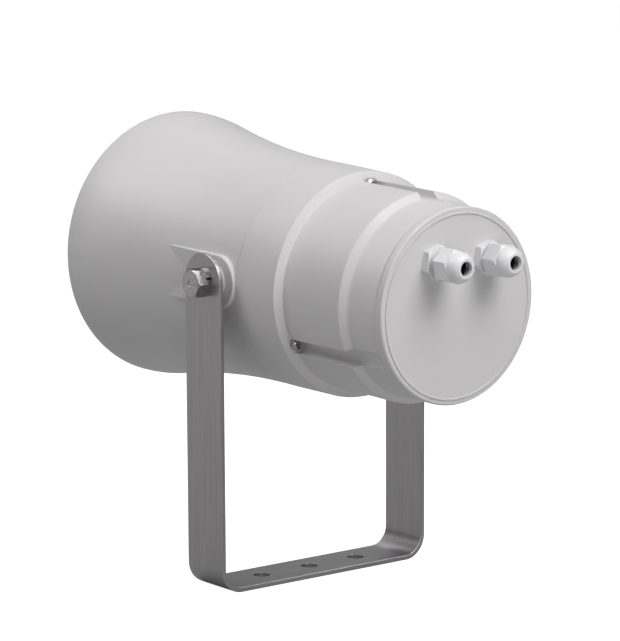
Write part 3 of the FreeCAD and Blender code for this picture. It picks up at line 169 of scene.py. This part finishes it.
def brushed_stainless(settings):
    """Cold-rolled stainless bar, belt-brushed along its length, which draws long fine lines and blurs reflections."""
    material, tree, surface, place = new_finish("stainless_belt_brushed", settings.steel, 0.34, Metallic=1.0)
    # Belt lines are about 0.1 mm apart; 0.3 mm is the finest that shows. They vary across Y and run along X or Z.
    fine = add(tree, "ShaderNodeTexNoise", {"Scale": 1.0, "Detail": 3.0},
               {"Vector": stretched(tree, place, (0.02, 3.2, 0.02))})
    broad = add(tree, "ShaderNodeTexNoise", {"Scale": 1.0, "Detail": 2.0},
                {"Vector": stretched(tree, place, (0.012, 0.55, 0.012))})
    both = add(tree, "ShaderNodeMix", {"data_type": "FLOAT", "Factor": 0.25},
               {2: fine.outputs[0], 3: broad.outputs[0]})
    ramp = add(tree, "ShaderNodeValToRGB", links={"Fac": both.outputs[0]})
    for stop, (where, colour) in zip(ramp.color_ramp.elements, ((0.32, settings.steel_low), (0.68, settings.steel))):
        stop.position = where
        stop.color = from_hex(colour)
    tree.links.new(ramp.outputs[0], surface.inputs["Base Color"])
    gloss = add(tree, "ShaderNodeMapRange", {"From Min": 0.3, "From Max": 0.7, "To Min": 0.26, "To Max": 0.42},
                {"Value": both.outputs[0]})
    tree.links.new(gloss.outputs[0], surface.inputs["Roughness"])
    relief(tree, surface, fine.outputs[0], 0.02, 0.5, eased_edges(tree, 0.4))
    return material


def machined_steel(name, colour, low, roughness, ring, edge):
    """Bright machined or rolled steel: fine rings about the bolt's own axis, and tumbled edges."""
    material, tree, surface, place = new_finish(name, colour, roughness, Metallic=1.0)
    mottle(tree, surface, place, ring * 6, low, colour)
    uneven_gloss(tree, surface, place, ring * 4, roughness - 0.06, roughness + 0.08)
    noise = add(tree, "ShaderNodeTexNoise", {"Scale": 1 / ring, "Detail": 1.0},
                {"Vector": stretched(tree, place, (0.3, 1.0, 1.0))})
    relief(tree, surface, noise.outputs[0], 0.001, 0.12, eased_edges(tree, edge))
    return material


def plain_grained(name, colour, low, roughness, size, depth, **shader):
    """A moulded, sintered or cast surface with grain of one size in millimetres."""
    material, tree, surface, place = new_finish(name, colour, roughness, **shader)
    mottle(tree, surface, place, size * 12, low, colour)
    noise = add(tree, "ShaderNodeTexNoise", {"Scale": 1 / size, "Detail": 2.0}, {"Vector": place})
    relief(tree, surface, noise.outputs[0], depth, 0.5)
    return material


def striped(name, colour, low, roughness, spacing, axis, **shader):
    """Stacked sheet, wound tape or cloth layers: lines with a spacing in millimetres along one axis."""
    material, tree, surface, place = new_finish(name, colour, roughness, **shader)
    wave = add(tree, "ShaderNodeTexWave", {"wave_type": "BANDS", "bands_direction": axis, "Scale": 0.31416 / spacing,
                                           "Distortion": 0.4, "Detail": 1.0}, {"Vector": place})
    ramp = add(tree, "ShaderNodeValToRGB", links={"Fac": wave.outputs["Fac"]})
    for stop, (where, shade) in zip(ramp.color_ramp.elements, ((0.1, low), (0.6, colour))):
        stop.position = where
        stop.color = from_hex(shade)
    tree.links.new(ramp.outputs[0], surface.inputs["Base Color"])
    relief(tree, surface, wave.outputs["Fac"], 0.05, 0.5)
    return material


def woven_phenolic():
    """Cotton cloth pressed with phenolic resin: brown, glossy, with the 0.6 mm weave showing through."""
    material, tree, surface, place = new_finish("phenolic_pressed_cloth", "#8A6A3E", 0.38)
    threads = [add(tree, "ShaderNodeTexWave", {"wave_type": "BANDS", "bands_direction": axis, "Scale": 0.31416 / 0.6},
                   {"Vector": place}) for axis in ("X", "Z")]
    weave = add(tree, "ShaderNodeMath", {"operation": "MAXIMUM"},
                {0: threads[0].outputs["Fac"], 1: threads[1].outputs["Fac"]})
    relief(tree, surface, weave.outputs[0], 0.08, 0.6)
    mottle(tree, surface, place, 9, "#74572F", "#8A6A3E")
    return material


# Surfaces


def to_row(points):
    """Points of the horn's own frame in millimetres, turned by the rest tilt about X and moved to the pivot."""
    turn = np.array(Matrix.Rotation(-TILT, 3, "X"))
    return points @ turn.T * MM + np.array(PIVOT)


def grid_object(name, points, closed_round=False):
    """A mesh of quads over a grid of points, joined round where each row is a closed ring."""
    rows, columns = points.shape[:2]
    index = np.arange(rows * columns).reshape(rows, columns)
    if closed_round:
        index = np.hstack([index, index[:, :1]])
    faces = np.stack([index[:-1, :-1], index[:-1, 1:], index[1:, 1:], index[1:, :-1]], axis=-1).reshape(-1, 4)
    mesh = bpy.data.meshes.new(name)
    mesh.from_pydata(points.reshape(-1, 3).tolist(), [], faces.tolist())
    mesh.shade_smooth()
    piece = bpy.data.objects.new(name, mesh)
    bpy.context.scene.collection.objects.link(piece)
    return piece


def thread_ridge(name, centre, radius, height, pitch, start, turns):
    """A screw thread: a ridge with a pointed section, whose radius is the root plus the height times a tent
    function across the ridge, carried along a helix round +Y that climbs one pitch in each turn and fades at
    both ends."""
    along = np.linspace(0, turns, int(turns * THREAD_RINGS) + 1)[:, None]
    across = np.array([-0.5, -0.16, 0.16, 0.5, 0.16, -0.16])[None, :]
    crest = np.array([0.0, 1.0, 1.0, 0.0, -0.25, -0.25])[None, :]
    fade = np.clip(np.minimum(along, turns - along) / THREAD_FADE, 0.02, 1)
    reach = radius + crest * height * fade
    angle = np.broadcast_to(2 * np.pi * along, reach.shape)
    rise = start + pitch * (along + across * RIDGE_WIDTH * fade)
    points = np.stack([centre[0] + reach * np.sin(angle), centre[1] + rise, centre[2] + reach * np.cos(angle)], axis=-1)
    return grid_object(name, to_row(points), closed_round=True)


def cap_ends(piece, count):
    """Closes the first and last ring of a carried profile, each ring with a count of points."""
    mesh = piece.data
    faces = [tuple(polygon.vertices) for polygon in mesh.polygons]
    total = len(mesh.vertices)
    faces += [tuple(range(count - 1, -1, -1)), tuple(range(total - count, total))]
    corners = [tuple(vertex.co) for vertex in mesh.vertices]
    mesh.clear_geometry()
    mesh.from_pydata(corners, [], faces)
    mesh.shade_smooth()


# Settings


class HornFinishes(bpy.types.PropertyGroup):
    """Colours of the visible finishes, as sRGB hex values."""

    plastic: bpy.props.StringProperty(name="Plastic", description="Housing plastic", default="#DBD9D9")
    plastic_low: bpy.props.StringProperty(name="Plastic, dark", description="Its darker patches", default="#D6D4D4")
    nylon: bpy.props.StringProperty(name="Glands", description="Polyamide of the glands", default="#E9E9EB")
    steel: bpy.props.StringProperty(name="Steel", description="Brushed bar, bright lines", default="#B9B7B9")
    steel_low: bpy.props.StringProperty(name="Steel, dark", description="Brushed bar, dark lines", default="#9F9C9E")


class HornDetails(bpy.types.PropertyGroup):
    """Sizes of the details that this script adds."""

    gland_radius: bpy.props.FloatProperty(
        name="Gland thread", description="Root radius of the gland's upper thread in millimetres",
        default=7.62, min=5, max=10)
    gland_height: bpy.props.FloatProperty(
        name="Gland ridge", description="Height of that thread over its root in millimetres",
        default=0.42, min=0.1, max=1)
    gland_pitch: bpy.props.FloatProperty(
        name="Gland pitch", description="Pitch of that thread in millimetres", default=1.5, min=0.5, max=3)
    gland_start: bpy.props.FloatProperty(
        name="Gland start", description="Where that thread starts behind the lower hexagon in millimetres",
        default=5.1, min=0, max=12)


class HornStudio(bpy.types.PropertyGroup):
    """Camera, lamps and backdrop."""

    backdrop: bpy.props.StringProperty(name="Backdrop", description="Floor colour", default="#CFCFCF")
    bounce: bpy.props.StringProperty(name="Bounce", description="Floor colour as a light", default="#8C8C8C")
    paper_glow: bpy.props.FloatProperty(name="Paper", description="Light that lifts the floor to white", default=0.95)
    table_level: bpy.props.FloatProperty(
        name="Table", description="Light that the floor sends up", default=0.14)
    mirror_level: bpy.props.FloatProperty(
        name="Mirrored room", description="The room as metal and gloss show it", default=0.2)
    mirror_top: bpy.props.FloatProperty(
        name="Mirrored ceiling", description="The room overhead as metal shows it", default=0.98)
    mirror_front: bpy.props.FloatProperty(
        name="Mirrored front", description="The floor before the mouth as metal shows it", default=0.62)
    mirror_rear: bpy.props.FloatProperty(
        name="Mirrored rear", description="The floor behind the speaker as metal shows it", default=0.28)
    top_power: bpy.props.FloatProperty(
        name="Top lamp", description="Lamp straight above", default=1.0, unit="POWER")
    left_power: bpy.props.FloatProperty(
        name="Left lamp", description="Lamp above on the left", default=5.8, unit="POWER")
    rear_power: bpy.props.FloatProperty(
        name="Rear lamp", description="Lamp behind the speaker", default=4.4, unit="POWER")
    over_power: bpy.props.FloatProperty(
        name="Key lamp", description="Main lamp, high behind", default=15.6, unit="POWER")
    low_power: bpy.props.FloatProperty(
        name="Low lamp", description="Lamp near the table behind", default=1.25, unit="POWER")
    glint_power: bpy.props.FloatProperty(
        name="Glint lamp", description="Strip that only gloss shows", default=3.6, unit="POWER")
    world_level: bpy.props.FloatProperty(
        name="Room", description="Strength of the room's light", default=0.1, min=0, max=2)


# Operators


class HORN_OT_finishes(bpy.types.Operator):
    """Give every solid of the model its real finish"""

    bl_idname = "horn.finishes"
    bl_label = "Dress the Solids"

    def execute(self, context):
        settings = context.scene.horn_finishes
        bright = machined_steel("stainless_cold_formed_bright", "#B8B5B5", "#A29F9F", 0.2, 0.4, 0.2)
        made = {
            "stainless_bar": brushed_stainless(settings),
            "bolt_steel": bright,
            "washer_steel": machined_steel("spring_steel_wire_satin", "#AAA8A8", "#8E8C8C", 0.32, 0.5, 0.3),
            "screw_steel": machined_steel("stainless_rolled_screw", "#BFBDBD", "#9F9D9D", 0.22, 0.3, 0.25),
            "brass": machined_steel("brass_turned", "#C9A765", "#AE8C4C", 0.28, 0.3, 0.3),
            "pillar_brass": machined_steel("brass_nickel_washed", "#CFC29A", "#B7A980", 0.28, 0.3, 0.3),
            "grey_plastic": moulded_asa(settings),
            "white_nylon": moulded_nylon(settings),
            "gland_rubber": plain_grained("chloroprene_moulded", "#26262A", "#1C1C1F", 0.6, 0.4, 0.02),
            "black_rubber": plain_grained("epdm_moulded", "#1F1F1F", "#171717", 0.7, 0.4, 0.02),
            "black_plastic": plain_grained("abs_moulded_black", "#232323", "#1C1C1C", 0.42, 0.5, 0.02),
            "phenolic": woven_phenolic(),
            "plated_steel": machined_steel("steel_zinc_plated", "#C9C7BC", "#B0AEA2", 0.3, 0.6, 0.4),
            "ferrite": plain_grained("ferrite_sintered_ground", "#3A3A3C", "#2C2C2E", 0.55, 0.5, 0.03),
            "laminations": striped("silicon_steel_laminated", "#77736E", "#3F3C39", 0.4, 0.5, "Z", Metallic=0.8),
            "coil_tape": striped("polyester_tape_wound", "#D9B84A", "#C5A238", 0.3, 3.0, "Y"),
            "board_laminate": plain_grained("phenolic_paper_laminate", "#9C6B35", "#8A5C2B", 0.35, 1.5, 0.02),
            "terminal_plastic": plain_grained("polyamide_moulded_black", "#2E2E2E", "#242424", 0.4, 0.5, 0.02),
        }
        for part in frame["record"]["subparts"]:
            solid = frame["nodes"][part["node"]]
            solid.data.materials.clear()
            solid.data.materials.append(made[part["material_slot"]])
        return {"FINISHED"}


class HORN_OT_gland_threads(bpy.types.Operator):
    """Cut the thread that shows between each gland's two hexagons"""

    bl_idname = "horn.gland_threads"
    bl_label = "Gland Threads"

    def execute(self, context):
        sizes = context.scene.horn_details
        # The right gland's nut stands further out, so more turns show
        for side, offset, turns in (("left", -19.5, 1.5), ("right", 19.5, 2.8)):
            ridge = thread_ridge(f"gland_thread_{side}", (offset, GLAND_BACK, GLAND_LIFT), sizes.gland_radius,
                                 sizes.gland_height, sizes.gland_pitch, sizes.gland_start, turns)
            cap_ends(ridge, RIDGE_POINTS)
            ridge.data.materials.append(bpy.data.materials["polyamide_moulded_white"])
            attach(ridge, "horn")
        return {"FINISHED"}


class HORN_OT_studio(bpy.types.Operator):
    """Set the floor, backdrop, lamps and camera"""

    bl_idname = "horn.studio"
    bl_label = "Studio"

    def execute(self, context):
        studio = context.scene.horn_studio
        scene = context.scene
        scene.view_settings.view_transform = "Standard"
        # Floor: a flat sheet just under the bracket
        side, far = np.meshgrid(np.linspace(-12, 12, 25), np.linspace(-12, 12, 25))
        floor = grid_object("studio_floor", np.stack([side, far, np.full_like(far, -0.0002)], axis=-1))
        material, tree, surface, place = new_finish("studio_paper", studio.backdrop, 0.9)
        floor.data.materials.append(material)
        # To the camera the paper is white and keeps the shadow, and as a light it is grey
        path = add(tree, "ShaderNodeLightPath")
        glow, table = (add(tree, "ShaderNodeEmission", {"Color": (1, 1, 1, 1), "Strength": level})
                       for level in (studio.paper_glow, studio.table_level))
        seen = add(tree, "ShaderNodeAddShader", {}, {0: surface.outputs[0], 1: glow.outputs[0]})
        bounce = add(tree, "ShaderNodeBsdfDiffuse", {"Color": from_hex(studio.bounce)})
        unseen = add(tree, "ShaderNodeAddShader", {}, {0: bounce.outputs[0], 1: table.outputs[0]})
        # In metal the paper is a painted reflection: a glow that darkens towards the rear, and painted shade darkens it
        # close to the object, which covers it
        across = add(tree, "ShaderNodeSeparateXYZ", {}, {0: place})
        slope = add(tree, "ShaderNodeMapRange",
                    {"From Min": -1300, "From Max": 700, "To Min": studio.mirror_front, "To Max": studio.mirror_rear},
                    {"Value": across.outputs["Y"]})
        # Painted shade: ambient occlusion cuts the painted reflection where the object covers the paper
        painted_shade = add(tree, "ShaderNodeAmbientOcclusion", {"samples": 6, "Distance": 0.06})
        level = add(tree, "ShaderNodeMath", {"operation": "MULTIPLY"}, {0: slope.outputs[0], 1: painted_shade.outputs["AO"]})
        painted_reflection = add(tree, "ShaderNodeEmission", {"Color": (1, 1, 1, 1)}, {"Strength": level.outputs[0]})
        metal = add(tree, "ShaderNodeMixShader", {},
                    {0: path.outputs["Is Glossy Ray"], 1: unseen.outputs[0], 2: painted_reflection.outputs[0]})
        mixed = add(tree, "ShaderNodeMixShader", {},
                    {0: path.outputs["Is Camera Ray"], 1: metal.outputs[0], 2: seen.outputs[0]})
        output = next(node for node in tree.nodes if node.type == "OUTPUT_MATERIAL")
        tree.links.new(mixed.outputs[0], output.inputs["Surface"])
        # World: white behind the object, dim grey as a light
        world = bpy.data.worlds.new("studio_room")
        scene.world = world
        world.use_nodes = True
        room = world.node_tree
        room.nodes.clear()
        path = add(room, "ShaderNodeLightPath")
        toward = add(room, "ShaderNodeTexCoord")
        height = add(room, "ShaderNodeSeparateXYZ", {}, {0: toward.outputs["Generated"]})
        # Metal sees a dim room with a bright ceiling
        ceiling = add(room, "ShaderNodeMapRange",
                      {"interpolation_type": "SMOOTHSTEP", "From Min": 0.3, "From Max": 0.6,
                       "To Min": studio.mirror_level, "To Max": studio.mirror_top}, {"Value": height.outputs["Z"]})
        dim, clear = (add(room, "ShaderNodeBackground", {"Color": (1, 1, 1, 1), "Strength": level})
                      for level in (studio.world_level, 1.0))
        mirrored = add(room, "ShaderNodeBackground", {"Color": (1, 1, 1, 1)}, {"Strength": ceiling.outputs[0]})
        metal = add(room, "ShaderNodeMixShader", {},
                    {0: path.outputs["Is Glossy Ray"], 1: dim.outputs[0], 2: mirrored.outputs[0]})
        mixed = add(room, "ShaderNodeMixShader", {},
                    {0: path.outputs["Is Camera Ray"], 1: metal.outputs[0], 2: clear.outputs[0]})
        add(room, "ShaderNodeOutputWorld", {}, {"Surface": mixed.outputs[0]})
        # Lamps: name, place, aim, width, height, power. The strip only draws glints, so diffuse light leaves it out.
        for name, place, aim, width, height, power in (
                ("lamp_top", (0.3, 0.1, 1.4), (0, 0.03, 0.2), 0.7, 0.7, studio.top_power),
                ("lamp_left", (0.85, -0.5, 1.15), (0, 0.03, 0.2), 0.6, 0.6, studio.left_power),
                ("lamp_rear", (0.1, 1.5, 1.1), (0, 0.03, 0.2), 1.0, 1.0, studio.rear_power),
                ("lamp_over", (-0.1, 1.1, 1.4), (0, 0.03, 0.2), 1.0, 1.0, studio.over_power),
                ("lamp_low", (0.35, 1.1, 0.13), (0, 0.03, 0.15), 0.6, 0.2, studio.low_power),
                ("lamp_glint", (-0.9, 0.85, 1.15), (0.08, 0.0, 0.19), 0.3, 1.0, studio.glint_power)):
            lamp = bpy.data.lights.new(name, "AREA")
            lamp.shape = "RECTANGLE"
            lamp.size = width
            lamp.size_y = height
            lamp.energy = power
            holder = bpy.data.objects.new(name, lamp)
            holder.location = place
            holder.rotation_euler = (Vector(aim) - Vector(place)).to_track_quat("-Z", "Y").to_euler()
            holder.visible_diffuse = name != "lamp_glint"
            scene.collection.objects.link(holder)
        # Camera: the photograph's angle, with its slight roll
        azimuth, elevation, roll = (math.radians(angle) for angle in (AZIMUTH, ELEVATION, ROLL))
        flat = math.cos(elevation)
        back = Vector((math.sin(azimuth) * flat, -math.cos(azimuth) * flat, math.sin(elevation)))
        right = Vector((math.cos(azimuth), math.sin(azimuth), 0))
        up = back.cross(right)
        turned_right = right * math.cos(roll) + up * math.sin(roll)
        turned_up = up * math.cos(roll) - right * math.sin(roll)
        camera = bpy.data.objects.new("camera", bpy.data.cameras.new("camera"))
        camera.matrix_world = Matrix((turned_right, turned_up, back)).transposed().to_4x4()
        camera.location = PIVOT + turned_right * 0.00139 - turned_up * 0.02977 + back * DISTANCE
        camera.data.lens = FOCAL / LONG_SIDE * SENSOR
        camera.data.sensor_width = SENSOR
        camera.data.clip_start = 0.05
        scene.collection.objects.link(camera)
        scene.camera = camera
        return {"FINISHED"}


class HORN_PT_panel(bpy.types.Panel):
    """Lists the horn speaker's steps and settings."""

    bl_idname = "HORN_PT_panel"
    bl_label = "Horn Speaker"
    bl_space_type = "VIEW_3D"
    bl_region_type = "UI"
    bl_category = "Horn"

    def draw(self, context):
        for group in ("horn_finishes", "horn_details", "horn_studio"):
            settings = getattr(context.scene, group)
            column = self.layout.column(align=True)
            for name in settings.bl_rna.properties.keys():
                if name not in ("rna_type", "name"):
                    column.prop(settings, name)
        for step in STEPS:
            self.layout.operator(step.bl_idname)


STEPS = (HORN_OT_finishes, HORN_OT_gland_threads, HORN_OT_studio)
GROUPS = {"horn_finishes": HornFinishes, "horn_details": HornDetails, "horn_studio": HornStudio}
CLASSES = (*GROUPS.values(), *STEPS, HORN_PT_panel)


def register():
    for cls in CLASSES:
        bpy.utils.register_class(cls)
    for name, group in GROUPS.items():
        setattr(bpy.types.Scene, name, bpy.props.PointerProperty(type=group))


def unregister():
    for name in GROUPS:
        delattr(bpy.types.Scene, name)
    for cls in reversed(CLASSES):
        bpy.utils.unregister_class(cls)


def main():
    register()
    bpy.ops.horn.finishes()
    bpy.ops.horn.gland_threads()
    bpy.ops.horn.studio()


if __name__ == "__main__":
    main()
